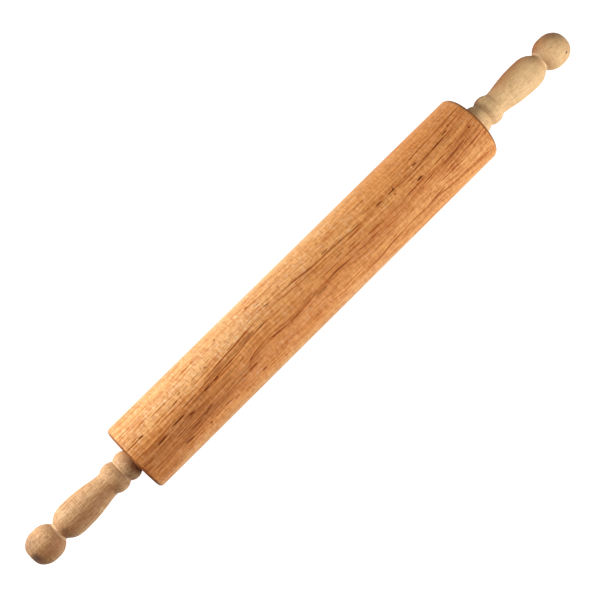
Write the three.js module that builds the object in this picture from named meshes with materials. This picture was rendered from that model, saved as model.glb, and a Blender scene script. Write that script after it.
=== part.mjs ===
// A wooden rolling pin: a hardwood roller that spins on a steel rod between two turned handles.
// Millimetres, +Z up. The rod's axis is X, and the origin is the middle of the roller on that axis.
import * as THREE from 'three';

// Roller
const ROLLER_DIAMETER = 60;
const ROLLER_LENGTH = 374;
const ROLLER_LEFT_EDGE_RADIUS = 3.4;
const ROLLER_RIGHT_EDGE_RADIUS = 4.6;
const ROLLER_BORE_RELIEF = 2; // radial room round the rod between the bushes

// Rod
const AXLE_DIAMETER = 8;
const AXLE_REACH = 34; // length of the rod inside each handle
const AXLE_CHAMFER = 0.8;

// Bushes in the roller's ends
const BUSH_LENGTH = 24;
const BUSH_WALL = 3.4;
const BUSH_FLANGE_RIM = 3.5; // how far the flange stands out beyond the barrel
const BUSH_FLANGE_THICKNESS = 2.5;
const BUSH_RUNNING_CLEARANCE = 0.1; // radial, between the rod and the bush
const BUSH_SEAT_CLEARANCE = 0.08; // glue line between the bush and the roller
const BUSH_RECESS = 0.2; // flange below the roller's end face

// Loose thrust washers between the roller and the handles
const WASHER_THICKNESS = 0.5;
const WASHER_RIM = 6; // from the washer's hole to its outer edge
const WASHER_RADIAL_CLEARANCE = 0.2;
const WASHER_SIDE_CLEARANCE = 0.15; // on each side of the washer

// Threaded inserts in the handles
const INSERT_LENGTH = 26;
const INSERT_WALL = 2;
const INSERT_THREAD_CLEARANCE = 0.05;
const INSERT_SEAT_CLEARANCE = 0.08; // glue line between the insert and the handle
const INSERT_RECESS = 0.5; // insert below the handle's inner face
const INSERT_CHAMFER = 0.5;

// Handle, measured outwards from its inner face
const COLLAR_LENGTH = 11.7; // bead next to the roller
const COLLAR_DIAMETER = 24.8;
const COLLAR_ROOT_DIAMETER = 20.8; // at the handle's inner face
const BEAD_GROOVE_DIAMETER = 20.4; // V-groove between the two beads
const RING_LENGTH = 13.5; // second bead
const RING_DIAMETER = 25.2;
const WAIST_LENGTH = 1.3;
const WAIST_DIAMETER = 20.6;
const GRIP_RISE = 33.9; // from the waist to the fullest part of the grip
const GRIP_FALL = 15.3; // from the fullest part to the neck
const GRIP_DIAMETER = 27.4;
const NECK_WIDTH = 1.2;
const NECK_DIAMETER = 16.1;
const BALL_DIAMETER = 28.4;
const BALL_BAND = 3.2; // straight stretch round the ball's middle
const NOSE_TRIM = 1.7; // taken off the ball's end
const NOSE_FLAT_DIAMETER = 8;
const NOSE_SHOULDER_ANGLE = 42; // degrees off the axis, where the ball's curve turns into the nose
const HANDLE_BORE_TIP_ROOM = 2; // empty bore beyond the rod's end
const HANDLE_BORE_CLEARANCE = 0.5; // radial, round the rod beyond the insert

// Shares of each stretch of the grip that its curve's tangents take
const GRIP_WAIST_EASE = 0.19;
const GRIP_CREST_EASE = 0.58;
const GRIP_SHOULDER_EASE = 0.58;
const GRIP_NECK_LEAN = 0.27;
const GRIP_NECK_DROP = 0.64;

// Facets round the axis and along the curves
const ROLLER_FACETS = 36;
const HANDLE_FACETS = 32;
const ROD_FACETS = 24;
const EDGE_STEPS = 4;
const BEAD_STEPS = 7;
const GRIP_RISE_STEPS = 8;
const GRIP_FALL_STEPS = 7;
const BALL_STEPS = 5;
const NOSE_STEPS = 3;

// Sizes and places that follow from those above
const rollerRadius = ROLLER_DIAMETER / 2;
const rollerEnd = ROLLER_LENGTH / 2;
const axleRadius = AXLE_DIAMETER / 2;
const endGap = WASHER_THICKNESS + 2 * WASHER_SIDE_CLEARANCE;
const handleFace = rollerEnd + endGap;
const washerFace = rollerEnd + WASHER_SIDE_CLEARANCE;
const bushInnerRadius = axleRadius + BUSH_RUNNING_CLEARANCE;
const bushOuterRadius = bushInnerRadius + BUSH_WALL;
const flangeRadius = bushOuterRadius + BUSH_FLANGE_RIM;
const insertInnerRadius = axleRadius + INSERT_THREAD_CLEARANCE;
const insertOuterRadius = insertInnerRadius + INSERT_WALL;

const rollerWood = new THREE.MeshStandardMaterial({ color: 0xb8733a, roughness: 0.55, metalness: 0 });
const handleWood = new THREE.MeshStandardMaterial({ color: 0xd8b083, roughness: 0.6, metalness: 0 });
const steel = new THREE.MeshStandardMaterial({ color: 0xb4b6b8, roughness: 0.35, metalness: 1 });
const nylon = new THREE.MeshStandardMaterial({ color: 0xe9e4d6, roughness: 0.5, metalness: 0 });
const brass = new THREE.MeshStandardMaterial({ color: 0xc9a24a, roughness: 0.35, metalness: 1 });

// A turned solid about X from an outline of (along the axis, radius) points. Its facets straddle the
// Z axis, so a flat facet faces straight down.
function turned(outline, facets) {
  const profile = outline.map((point) => new THREE.Vector2(point.y, point.x));
  const geometry = new THREE.LatheGeometry(profile, facets, Math.PI / facets);
  return geometry.rotateZ(-Math.PI / 2);
}

// A sleeve's outline closes on itself: outer side, far face, bore, near face.
function closedOutline(points) {
  return [...points, points[0].clone()];
}

function at(along, radius) {
  return new THREE.Vector2(along, radius);
}

// The outline of a quarter-round edge from the side of a cylinder to its end face.
function roundedEdge(end, radius, edgeRadius, toward) {
  const points = [];
  for (let step = 0; step <= EDGE_STEPS; step += 1) {
    const angle = (step / EDGE_STEPS) * (Math.PI / 2);
    const along = end + toward * edgeRadius * (Math.sin(angle) - 1);
    points.push(at(along, radius + edgeRadius * (Math.cos(angle) - 1)));
  }
  return points;
}

// The roller's flats lie on its true diameter, so its corners stand a little outside it.
function rollerGeometry() {
  const flatsRadius = rollerRadius / Math.cos(Math.PI / ROLLER_FACETS);
  const boreRadius = axleRadius + ROLLER_BORE_RELIEF;
  const seatRadius = bushOuterRadius + BUSH_SEAT_CLEARANCE;
  const flangeSeatRadius = flangeRadius + BUSH_SEAT_CLEARANCE;
  const flangeFloor = rollerEnd - BUSH_RECESS - BUSH_FLANGE_THICKNESS - BUSH_SEAT_CLEARANCE;
  const seatFloor = rollerEnd - BUSH_RECESS - BUSH_LENGTH - BUSH_SEAT_CLEARANCE;
  const outline = closedOutline([
    ...roundedEdge(-rollerEnd, flatsRadius, ROLLER_LEFT_EDGE_RADIUS, -1).reverse(),
    ...roundedEdge(rollerEnd, flatsRadius, ROLLER_RIGHT_EDGE_RADIUS, 1),
    at(rollerEnd, flangeSeatRadius),
    at(flangeFloor, flangeSeatRadius),
    at(flangeFloor, seatRadius),
    at(seatFloor, seatRadius),
    at(seatFloor, boreRadius),
    at(-seatFloor, boreRadius),
    at(-seatFloor, seatRadius),
    at(-flangeFloor, seatRadius),
    at(-flangeFloor, flangeSeatRadius),
    at(-rollerEnd, flangeSeatRadius),
  ]);
  return turned(outline, ROLLER_FACETS);
}

function axleGeometry() {
  const tip = handleFace + AXLE_REACH;
  const outline = [
    at(-tip, 0),
    at(-tip, axleRadius - AXLE_CHAMFER),
    at(-tip + AXLE_CHAMFER, axleRadius),
    at(tip - AXLE_CHAMFER, axleRadius),
    at(tip, axleRadius - AXLE_CHAMFER),
    at(tip, 0),
  ];
  return turned(outline, ROD_FACETS);
}

// A flanged sleeve, flange outwards, as it sits in the roller's +X end.
function bushGeometry() {
  const flangeFace = rollerEnd - BUSH_RECESS;
  const innerEnd = flangeFace - BUSH_LENGTH;
  const outline = closedOutline([
    at(innerEnd, bushOuterRadius),
    at(flangeFace - BUSH_FLANGE_THICKNESS, bushOuterRadius),
    at(flangeFace - BUSH_FLANGE_THICKNESS, flangeRadius),
    at(flangeFace, flangeRadius),
    at(flangeFace, bushInnerRadius),
    at(innerEnd, bushInnerRadius),
  ]);
  return turned(outline, ROD_FACETS);
}

function washerGeometry() {
  const holeRadius = axleRadius + WASHER_RADIAL_CLEARANCE;
  const outline = closedOutline([
    at(washerFace, holeRadius + WASHER_RIM),
    at(washerFace + WASHER_THICKNESS, holeRadius + WASHER_RIM),
    at(washerFace + WASHER_THICKNESS, holeRadius),
    at(washerFace, holeRadius),
  ]);
  return turned(outline, ROD_FACETS);
}

function insertGeometry() {
  const nearFace = handleFace + INSERT_RECESS;
  const farFace = nearFace + INSERT_LENGTH;
  const outline = closedOutline([
    at(nearFace, insertOuterRadius - INSERT_CHAMFER),
    at(nearFace + INSERT_CHAMFER, insertOuterRadius),
    at(farFace - INSERT_CHAMFER, insertOuterRadius),
    at(farFace, insertOuterRadius - INSERT_CHAMFER),
    at(farFace, insertInnerRadius),
    at(nearFace, insertInnerRadius),
  ]);
  return turned(outline, ROD_FACETS);
}

// A bead's outline: one arc over its length, from one root radius to the other, up to its crest.
function beadArc(start, length, startRadius, endRadius, crestRadius) {
  const middle = start + length / 2;
  const points = [];
  for (let step = 0; step <= BEAD_STEPS; step += 1) {
    const along = start + (length * step) / BEAD_STEPS;
    const root = startRadius + ((endRadius - startRadius) * step) / BEAD_STEPS;
    const rise = crestRadius - (startRadius + endRadius) / 2;
    const arcRadius = (length * length) / (8 * rise) + rise / 2;
    const offset = along - middle;
    const height = Math.sqrt(arcRadius * arcRadius - offset * offset) - (arcRadius - rise);
    points.push(at(along, root + height));
  }
  return points;
}

// The grip swells slowly from the waist, and falls quickly to the neck.
function gripOutline(waist) {
  const crest = waist + GRIP_RISE;
  const neck = crest + GRIP_FALL;
  const waistRadius = WAIST_DIAMETER / 2;
  const crestRadius = GRIP_DIAMETER / 2;
  const neckRadius = NECK_DIAMETER / 2;
  const rise = new THREE.CubicBezierCurve(
    at(waist, waistRadius),
    at(waist + GRIP_WAIST_EASE * GRIP_RISE, waistRadius),
    at(crest - GRIP_CREST_EASE * GRIP_RISE, crestRadius),
    at(crest, crestRadius),
  );
  const fall = new THREE.CubicBezierCurve(
    at(crest, crestRadius),
    at(crest + GRIP_SHOULDER_EASE * GRIP_FALL, crestRadius),
    at(neck - GRIP_NECK_LEAN * GRIP_FALL, neckRadius + GRIP_NECK_DROP * (crestRadius - neckRadius)),
    at(neck, neckRadius),
  );
  return [...rise.getPoints(GRIP_RISE_STEPS), ...fall.getPoints(GRIP_FALL_STEPS).slice(1)];
}

// The ball: two round halves with a straight band between them, and a trimmed nose.
function ballOutline(start) {
  const ballRadius = BALL_DIAMETER / 2;
  const neckAngle = Math.asin(NECK_DIAMETER / BALL_DIAMETER);
  const shoulderAngle = THREE.MathUtils.degToRad(NOSE_SHOULDER_ANGLE);
  const innerCentre = start + ballRadius * Math.cos(neckAngle);
  const outerCentre = innerCentre + BALL_BAND;
  const nose = outerCentre + ballRadius - NOSE_TRIM;
  const points = [];
  for (let step = 0; step <= BALL_STEPS; step += 1) {
    const angle = Math.PI - neckAngle + (step / BALL_STEPS) * (neckAngle - Math.PI / 2);
    points.push(at(innerCentre + ballRadius * Math.cos(angle), ballRadius * Math.sin(angle)));
  }
  for (let step = 0; step <= BALL_STEPS; step += 1) {
    const angle = Math.PI / 2 + (step / BALL_STEPS) * (shoulderAngle - Math.PI / 2);
    points.push(at(outerCentre + ballRadius * Math.cos(angle), ballRadius * Math.sin(angle)));
  }
  const shoulder = points[points.length - 1];
  const noseCorner = shoulder.y - (nose - shoulder.x) / Math.tan(shoulderAngle);
  const noseCurve = new THREE.QuadraticBezierCurve(
    shoulder,
    at(nose, noseCorner),
    at(nose, NOSE_FLAT_DIAMETER / 2),
  );
  return [...points, ...noseCurve.getPoints(NOSE_STEPS).slice(1), at(nose, 0)];
}

// The +X handle: its turned outside from the inner face to the nose, and its blind bore.
function handleGeometry() {
  const grooveRadius = BEAD_GROOVE_DIAMETER / 2;
  const waistRadius = WAIST_DIAMETER / 2;
  const groove = handleFace + COLLAR_LENGTH;
  const ringEnd = groove + RING_LENGTH;
  const waist = ringEnd + WAIST_LENGTH;
  const neckEnd = waist + GRIP_RISE + GRIP_FALL + NECK_WIDTH;
  const seatRadius = insertOuterRadius + INSERT_SEAT_CLEARANCE;
  const seatFloor = handleFace + INSERT_RECESS + INSERT_LENGTH + INSERT_SEAT_CLEARANCE;
  const boreRadius = axleRadius + HANDLE_BORE_CLEARANCE;
  const boreFloor = handleFace + AXLE_REACH + HANDLE_BORE_TIP_ROOM;
  const collar = beadArc(handleFace, COLLAR_LENGTH, COLLAR_ROOT_DIAMETER / 2, grooveRadius, COLLAR_DIAMETER / 2);
  const ring = beadArc(groove, RING_LENGTH, grooveRadius, waistRadius, RING_DIAMETER / 2);
  const outline = [
    at(boreFloor, 0),
    at(boreFloor, boreRadius),
    at(seatFloor, boreRadius),
    at(seatFloor, seatRadius),
    at(handleFace, seatRadius),
    ...collar,
    ...ring.slice(1),
    ...gripOutline(waist),
    ...ballOutline(neckEnd),
  ];
  return turned(outline, HANDLE_FACETS);
}

const pin = new THREE.Group();

function addPiece(name, geometry, material) {
  const piece = new THREE.Mesh(geometry, material);
  piece.name = name;
  pin.add(piece);
  return piece;
}

// The two ends are alike: the left one is the right one turned half round about Z.
function addEndPiece(name, makeGeometry, material) {
  addPiece(`${name}_right`, makeGeometry(), material);
  addPiece(`${name}_left`, makeGeometry(), material).rotation.z = Math.PI;
}

addPiece('roller', rollerGeometry(), rollerWood);
addPiece('axle_rod', axleGeometry(), steel);
addEndPiece('bush', bushGeometry, nylon);
addEndPiece('washer', washerGeometry, nylon);
addEndPiece('insert', insertGeometry, brass);
addEndPiece('handle', handleGeometry, handleWood);

export default pin;
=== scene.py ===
import math

import bmesh
import bpy
from bpy.props import FloatProperty, FloatVectorProperty, PointerProperty
from bpy.types import Operator, Panel, PropertyGroup
from mathutils import Matrix, Vector, noise


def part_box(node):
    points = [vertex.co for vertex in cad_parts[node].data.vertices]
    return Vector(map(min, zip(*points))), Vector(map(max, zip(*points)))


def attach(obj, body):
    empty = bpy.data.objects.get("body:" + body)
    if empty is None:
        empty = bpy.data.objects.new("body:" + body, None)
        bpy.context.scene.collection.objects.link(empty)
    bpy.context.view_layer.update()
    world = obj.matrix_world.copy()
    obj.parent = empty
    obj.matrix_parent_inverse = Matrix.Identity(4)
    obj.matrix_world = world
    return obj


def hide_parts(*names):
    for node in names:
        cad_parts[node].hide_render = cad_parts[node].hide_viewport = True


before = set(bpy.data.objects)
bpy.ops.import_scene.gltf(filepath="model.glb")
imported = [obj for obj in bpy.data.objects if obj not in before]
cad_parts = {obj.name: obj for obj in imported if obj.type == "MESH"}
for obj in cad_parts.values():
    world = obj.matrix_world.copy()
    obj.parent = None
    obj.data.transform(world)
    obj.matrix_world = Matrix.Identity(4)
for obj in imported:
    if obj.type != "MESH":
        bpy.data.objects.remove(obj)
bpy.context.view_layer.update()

bl_info = {
    "name": "Rolling pin",
    "version": (1, 0, 0),
    "blender": (4, 5, 0),
    "location": "View3D > Sidebar > Rolling pin",
    "description": "Models and finishes a wooden rolling pin with turned handles",
    "category": "Object",
}

MM = 0.001
FULL_TURN = 2 * math.pi
MERGE_DISTANCE = 0.002 * MM
ROLLER_LOW, ROLLER_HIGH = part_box("roller")
HANDLE_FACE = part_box("handle_right")[0].x
ROD_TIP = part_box("axle_rod")[1].x
INSERT_LOW, INSERT_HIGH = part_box("insert_right")


def size(name, description, millimetres):
    """A length that a user can change, written in millimetres and kept in metres."""
    return FloatProperty(
        name=name,
        description=description,
        default=millimetres * MM,
        subtype="DISTANCE",
        unit="LENGTH",
        precision=4,
    )


def tint(name, description, red, green, blue):
    """A colour that a user can change, written as it shows on a screen, from 0 to 255."""
    linear = [screen_to_linear(value / 255) for value in (red, green, blue)]
    return FloatVectorProperty(
        name=name,
        description=description,
        default=linear,
        size=3,
        subtype="COLOR",
        min=0,
        max=1,
    )


def power(name, description, watts):
    """A lamp's power that a user can change."""
    return FloatProperty(
        name=name, description=description, default=watts, min=0, subtype="POWER", unit="POWER"
    )


def angle(name, description, degrees):
    """An angle that a user can change, written in degrees and kept in radians."""
    return FloatProperty(
        name=name, description=description, default=math.radians(degrees), subtype="ANGLE", unit="ROTATION"
    )


def screen_to_linear(value):
    """Undo the screen's curve, from 0 to 1."""
    if value <= 0.04045:
        return value / 12.92
    return ((value + 0.055) / 1.055) ** 2.4


class RollerSettings(PropertyGroup):
    left_edge: size("Left edge", "Rounding of the roller's -X edge", 3.4)
    right_edge: size("Right edge", "Rounding of the roller's +X edge", 4.6)
    bore: size("Bore", "Radius of the roller's bore between the bushes", 6)
    seat: size("Bush seat", "Radius of the seat for a bush's barrel", 7.58)
    seat_depth: size("Bush seat depth", "Depth of that seat from the roller's end", 24.28)
    flange_seat: size("Flange seat", "Radius of the seat for a bush's flange", 11.08)
    flange_depth: size("Flange seat depth", "Depth of that seat from the roller's end", 2.78)
    unevenness: size("Unevenness", "How far hand turning leaves the roller's side out of true", 0.12)
    ring_width: size("Ring width", "Width of one growth ring", 2.8)
    # Pale wood: pale sapwood, and painted light on the roller's lit sides and edges
    pale: tint("Pale wood", "Sapwood on the +Y side", 247, 197, 134)
    honey: tint("Honey wood", "Middle tone of the roller", 245, 181, 107)
    heart: tint("Heart wood", "Reddish band along the top", 244, 167, 98)
    brown: tint("Brown wood", "Darker fibres and stains", 190, 106, 48)
    smoke: tint("Smoke", "Greyish stains beside the lines", 126, 78, 50)
    line: tint("Grain line", "Thin dark lines in the grain", 98, 24, 3)
    blush: tint("Blush", "How lines and flecks redden the wood round them", 255, 206, 164)
    gum: tint("Gum fleck", "Dark dashes in the grain", 70, 15, 1)
    # Glint: painted highlights, pale flecks along the fibres where the softboxes light the roller
    glint: tint("Glint", "Pale flecks along the fibres", 255, 224, 182)
    # Rim: dark end grain, and painted shade on the roller's rounded edges
    rim: tint("Rim", "Dark end grain and scorched edges", 88, 40, 18)
    end_pale: tint("End rings", "Paler rings on the end faces", 146, 82, 42)


class HandleSettings(PropertyGroup):
    collar_length: size("Collar length", "Bead next to the roller", 11.7)
    collar_radius: size("Collar radius", "That bead's largest radius", 12.4)
    collar_root: size("Collar root", "Radius at the handle's inner face", 10.4)
    groove_radius: size("Groove radius", "Bottom of the V-groove between the beads", 10.2)
    ring_length: size("Ring length", "Second bead", 13.5)
    ring_radius: size("Ring radius", "That bead's largest radius", 12.6)
    waist_length: size("Waist length", "Straight stretch between the beads and the grip", 1.3)
    waist_radius: size("Waist radius", "Thinnest part of the grip", 10.3)
    grip_rise: size("Grip rise", "From the waist to the fullest part of the grip", 33.9)
    grip_fall: size("Grip fall", "From the fullest part to the neck", 15.3)
    grip_radius: size("Grip radius", "Fullest part of the grip", 13.7)
    neck_width: size("Neck width", "Bottom of the groove behind the ball", 1.2)
    neck_radius: size("Neck radius", "Bottom of the groove behind the ball", 8.05)
    ball_radius: size("Ball radius", "Ball at the handle's end", 14.2)
    ball_band: size("Ball band", "Straight stretch round the ball's middle", 3.2)
    nose_trim: size("Nose trim", "Taken off the ball's end", 1.7)
    nose_flat: size("Nose flat", "Radius of the flat on the ball's end", 4)
    bore: size("Bore", "Radius of the bore for the insert", 6.13)
    bore_depth: size("Bore depth", "Depth of the bore for the insert", 26.58)
    tip_bore: size("Tip bore", "Radius of the bore round the rod's tip", 4.5)
    tip_depth: size("Tip bore depth", "Depth of the whole blind bore", 36)
    left_lean: angle("Left lean", "How far the left handle leans towards +Y", 0.7)
    right_lean: angle("Right lean", "How far the right handle leans towards +Y", -1.4)
    left_pale: tint("Left wood", "Ground colour of the left handle", 220, 178, 130)
    right_pale: tint("Right wood", "Ground colour of the right handle", 242, 202, 147)
    streak: tint("Streak", "Darker lengthwise streaks", 152, 96, 50)
    fleck: tint("Fleck", "Short dark flecks", 128, 84, 50)
    # Warm shade: painted shade along the side of each handle that faces away from its softbox
    painted_shade: tint("Warm shade", "Browner band along each handle", 162, 86, 24)
    end_grain: tint("End grain", "Where the turning cuts across the grain", 158, 112, 76)
    # Fresh wood: painted highlights in the V-groove and at the neck
    groove_highlight: tint("Fresh wood", "Pale wood left in the grooves", 240, 206, 162)
    # Mark: dark marks on the balls, and painted shade on the right ball's +Y side
    mark: tint("Mark", "Dark marks on the balls", 84, 62, 48)


class RodSettings(PropertyGroup):
    radius: size("Radius", "Radius of the rod", 4)
    chamfer: size("Chamfer", "Chamfer at the rod's ends", 0.8)
    thread_length: size("Thread length", "How far the thread runs along each end of the rod", 30)
    pitch: size("Pitch", "From one turn of that thread to the next", 1.25)
    depth: size("Thread depth", "How deep that thread is cut", 0.55)
    steel: tint("Steel", "The rod", 196, 198, 200)


class BearingSettings(PropertyGroup):
    nylon: tint("Nylon", "The bushes and washers", 232, 227, 212)


class InsertSettings(PropertyGroup):
    radius: size("Radius", "Radius over the outer thread", 6.05)
    bore: size("Bore", "Radius of the bore round the rod", 4.05)
    chamfer: size("Chamfer", "Chamfer at the insert's outer edges", 0.5)
    pitch: size("Pitch", "From one turn of the coarse outer thread to the next", 3)
    depth: size("Thread depth", "How deep that thread is cut", 0.45)
    brass: tint("Brass", "The handles' inserts", 206, 168, 92)


class StageSettings(PropertyGroup):
    camera_height: size("Camera height", "Camera above the pin's axis", 1038.5)
    camera_back: size("Camera setback", "Camera towards -X from its aim", 129.4)
    aim_x: size("Aim along", "Point on the pin at the picture's centre, along X", -9.4)
    aim_y: size("Aim across", "Point on the pin at the picture's centre, along Y", -2.6)
    paper: tint("Paper", "The floor", 210, 210, 210)


def softbox(name, azimuth, reach, height, width, tall, watts):
    """The settings of one softbox, by their names."""
    title = f"{name.capitalize()} softbox"
    return {
        f"{name}_azimuth": angle(f"{title} direction", "Where it stands, turned from +X", azimuth),
        f"{name}_reach": size(f"{title} reach", "Its distance from the pin, level", reach),
        f"{name}_height": size(f"{title} height", "Its height above the pin", height),
        f"{name}_width": size(f"{title} width", "Its level side", width),
        f"{name}_tall": size(f"{title} side", "Its upright side", tall),
        f"{name}_power": power(f"{title} power", "Its light", watts),
    }


# Each softbox's direction in degrees, its reach, height, width and upright side in mm, and its power in watts
SOFTBOXES = {
    "left": (130, 820, 225, 450, 450, 9.6),
    "right": (-65, 746, 362, 900, 700, 7.7),
    "top": (5, 598, 847, 450, 590, 2.4),
}
for softbox_name, softbox_numbers in SOFTBOXES.items():
    StageSettings.__annotations__.update(softbox(softbox_name, *softbox_numbers))


PIN_TILT = math.radians(44.64)  # the pin's slope in the picture
LENS = 80.4
SENSOR = 36.0
FILL_STRENGTH = 0.02
PAPER_GLOW = 0.9  # the paper as the camera sees it: its own glow, and the share of light that it takes
PAPER_SHARE = 0.4
FLOOR_SIDE = 4.0


# Modelling

def turned(outline, steps, closed=False):
    """A bmesh of an outline of (along X, radius) points, spun once round the X axis."""
    shape = bmesh.new()
    points = [shape.verts.new((along, 0, radius)) for along, radius in outline]
    edges = [shape.edges.new(pair) for pair in zip(points, points[1:])]
    if closed:
        edges.append(shape.edges.new((points[-1], points[0])))
    bmesh.ops.spin(
        shape,
        geom=points + edges,
        cent=(0, 0, 0),
        axis=(1, 0, 0),
        angle=FULL_TURN,
        steps=steps,
        use_merge=True,
    )
    bmesh.ops.remove_doubles(shape, verts=shape.verts, dist=MERGE_DISTANCE)
    bmesh.ops.recalc_face_normals(shape, faces=shape.faces)
    return shape


def finished_piece(shape, name, material, sharp_angle):
    """An object at the origin from a bmesh, shaded smooth apart from its sharp edges."""
    mesh = bpy.data.meshes.new(name)
    shape.to_mesh(mesh)
    shape.free()
    mesh.materials.append(material)
    mesh.shade_smooth()
    mesh.set_sharp_from_angle(angle=math.radians(sharp_angle))
    piece = bpy.data.objects.new(name, mesh)
    bpy.context.scene.collection.objects.link(piece)
    return piece


def off_axis(vertex):
    return math.hypot(vertex.co.y, vertex.co.z)


def rim_edges(shape, along, radius):
    """The edges of the circle at that place on the axis, with that radius."""
    def on_rim(vertex):
        return abs(vertex.co.x - along) < MERGE_DISTANCE and abs(off_axis(vertex) - radius) < MERGE_DISTANCE
    return [edge for edge in shape.edges if all(on_rim(vertex) for vertex in edge.verts)]


ROLLER_STEPS = 160
ROLLER_CUTS = 90
ROLLER_EDGE_SEGMENTS = 10
UNEVEN_LENGTH = 60 * MM
UNEVEN_WIDTH = 22 * MM


def roller_shape(settings):
    """The roller: bored through, seated for its bushes, round-edged and slightly out of true."""
    left, right = ROLLER_LOW.x, ROLLER_HIGH.x
    radius = ROLLER_HIGH.z
    steps_in = (
        (settings.flange_seat, 0),
        (settings.flange_seat, settings.flange_depth),
        (settings.seat, settings.flange_depth),
        (settings.seat, settings.seat_depth),
        (settings.bore, settings.seat_depth),
    )
    right_bore = [(right - depth, bore) for bore, depth in steps_in]
    left_bore = [(left + depth, bore) for bore, depth in reversed(steps_in)]
    shape = turned([(left, radius), (right, radius), *right_bore, *left_bore], ROLLER_STEPS, closed=True)
    for along, edge_radius in ((left, settings.left_edge), (right, settings.right_edge)):
        bmesh.ops.bevel(
            shape,
            geom=rim_edges(shape, along, radius),
            offset=edge_radius,
            offset_type="OFFSET",
            affect="EDGES",
            segments=ROLLER_EDGE_SEGMENTS,
            profile=0.5,
            material=-1,
        )
    outer = [vertex for vertex in shape.verts if off_axis(vertex) > radius - MERGE_DISTANCE]
    outer_set = set(outer)
    long_edges = [
        edge for edge in shape.edges
        if all(vertex in outer_set for vertex in edge.verts) and edge.calc_length() > radius
    ]
    bmesh.ops.subdivide_edges(shape, edges=long_edges, cuts=ROLLER_CUTS, use_grid_fill=True)
    for vertex in shape.verts:
        reach = off_axis(vertex)
        if reach > settings.flange_seat + settings.right_edge:
            x, y, z = vertex.co
            spot = Vector((x / UNEVEN_LENGTH, y / UNEVEN_WIDTH, z / UNEVEN_WIDTH))
            share = 1 - settings.unevenness * (1 + noise.noise(spot)) / 2 / reach
            vertex.co.y *= share
            vertex.co.z *= share
    return shape


HANDLE_STEPS = 128
BEAD_STEPS = 22
GRIP_STEPS = 34
BALL_STEPS = 20
NOSE_STEPS = 8
NOSE_SHOULDER = math.radians(42)
GRIP_WAIST_EASE = 0.19
GRIP_CREST_EASE = 0.58
GRIP_SHOULDER_EASE = 0.58
GRIP_NECK_LEAN = 0.27
GRIP_NECK_DROP = 0.64


def bead_outline(start, length, start_radius, end_radius, crest_radius):
    """One arc over the bead's length, from one root radius to the other."""
    rise = crest_radius - (start_radius + end_radius) / 2
    arc_radius = length * length / (8 * rise) + rise / 2
    points = []
    for step in range(BEAD_STEPS + 1):
        share = step / BEAD_STEPS
        offset = length * (share - 0.5)
        height = math.sqrt(arc_radius ** 2 - offset ** 2) - (arc_radius - rise)
        points.append((start + length * share, start_radius + (end_radius - start_radius) * share + height))
    return points


def bezier_outline(corners, steps):
    """Points along a Bezier curve of any order, by repeated halving of its control polygon."""
    points = []
    for step in range(steps + 1):
        level = [Vector(corner) for corner in corners]
        while len(level) > 1:
            level = [first.lerp(second, step / steps) for first, second in zip(level, level[1:])]
        points.append(tuple(level[0]))
    return points


def grip_outline(settings, waist):
    """The grip swells slowly from the waist, and falls quickly to the neck."""
    rise, fall = settings.grip_rise, settings.grip_fall
    crest = waist + rise
    neck = crest + fall
    drop = settings.grip_radius - settings.neck_radius
    swell = bezier_outline(
        (
            (waist, settings.waist_radius),
            (waist + GRIP_WAIST_EASE * rise, settings.waist_radius),
            (crest - GRIP_CREST_EASE * rise, settings.grip_radius),
            (crest, settings.grip_radius),
        ),
        GRIP_STEPS,
    )
    shoulder = bezier_outline(
        (
            (crest, settings.grip_radius),
            (crest + GRIP_SHOULDER_EASE * fall, settings.grip_radius),
            (neck - GRIP_NECK_LEAN * fall, settings.neck_radius + GRIP_NECK_DROP * drop),
            (neck, settings.neck_radius),
        ),
        GRIP_STEPS,
    )
    return swell + shoulder[1:]


def arc_outline(centre, radius, start_angle, end_angle):
    """Points on an arc about a centre on the axis, from one angle to the other."""
    points = []
    for step in range(BALL_STEPS + 1):
        turn = start_angle + (end_angle - start_angle) * step / BALL_STEPS
        points.append((centre + radius * math.cos(turn), radius * math.sin(turn)))
    return points


def ball_outline(settings, start):
    """Two round halves with a straight band between them, and a trimmed nose."""
    radius = settings.ball_radius
    neck_angle = math.asin(settings.neck_radius / radius)
    inner_centre = start + radius * math.cos(neck_angle)
    outer_centre = inner_centre + settings.ball_band
    nose = outer_centre + radius - settings.nose_trim
    inner = arc_outline(inner_centre, radius, math.pi - neck_angle, math.pi / 2)
    outer = arc_outline(outer_centre, radius, math.pi / 2, NOSE_SHOULDER)
    along, reach = outer[-1]
    corner = reach - (nose - along) / math.tan(NOSE_SHOULDER)
    tip = bezier_outline(((along, reach), (nose, corner), (nose, settings.nose_flat)), NOSE_STEPS)
    return inner + outer + tip[1:] + [(nose, 0)]


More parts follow.
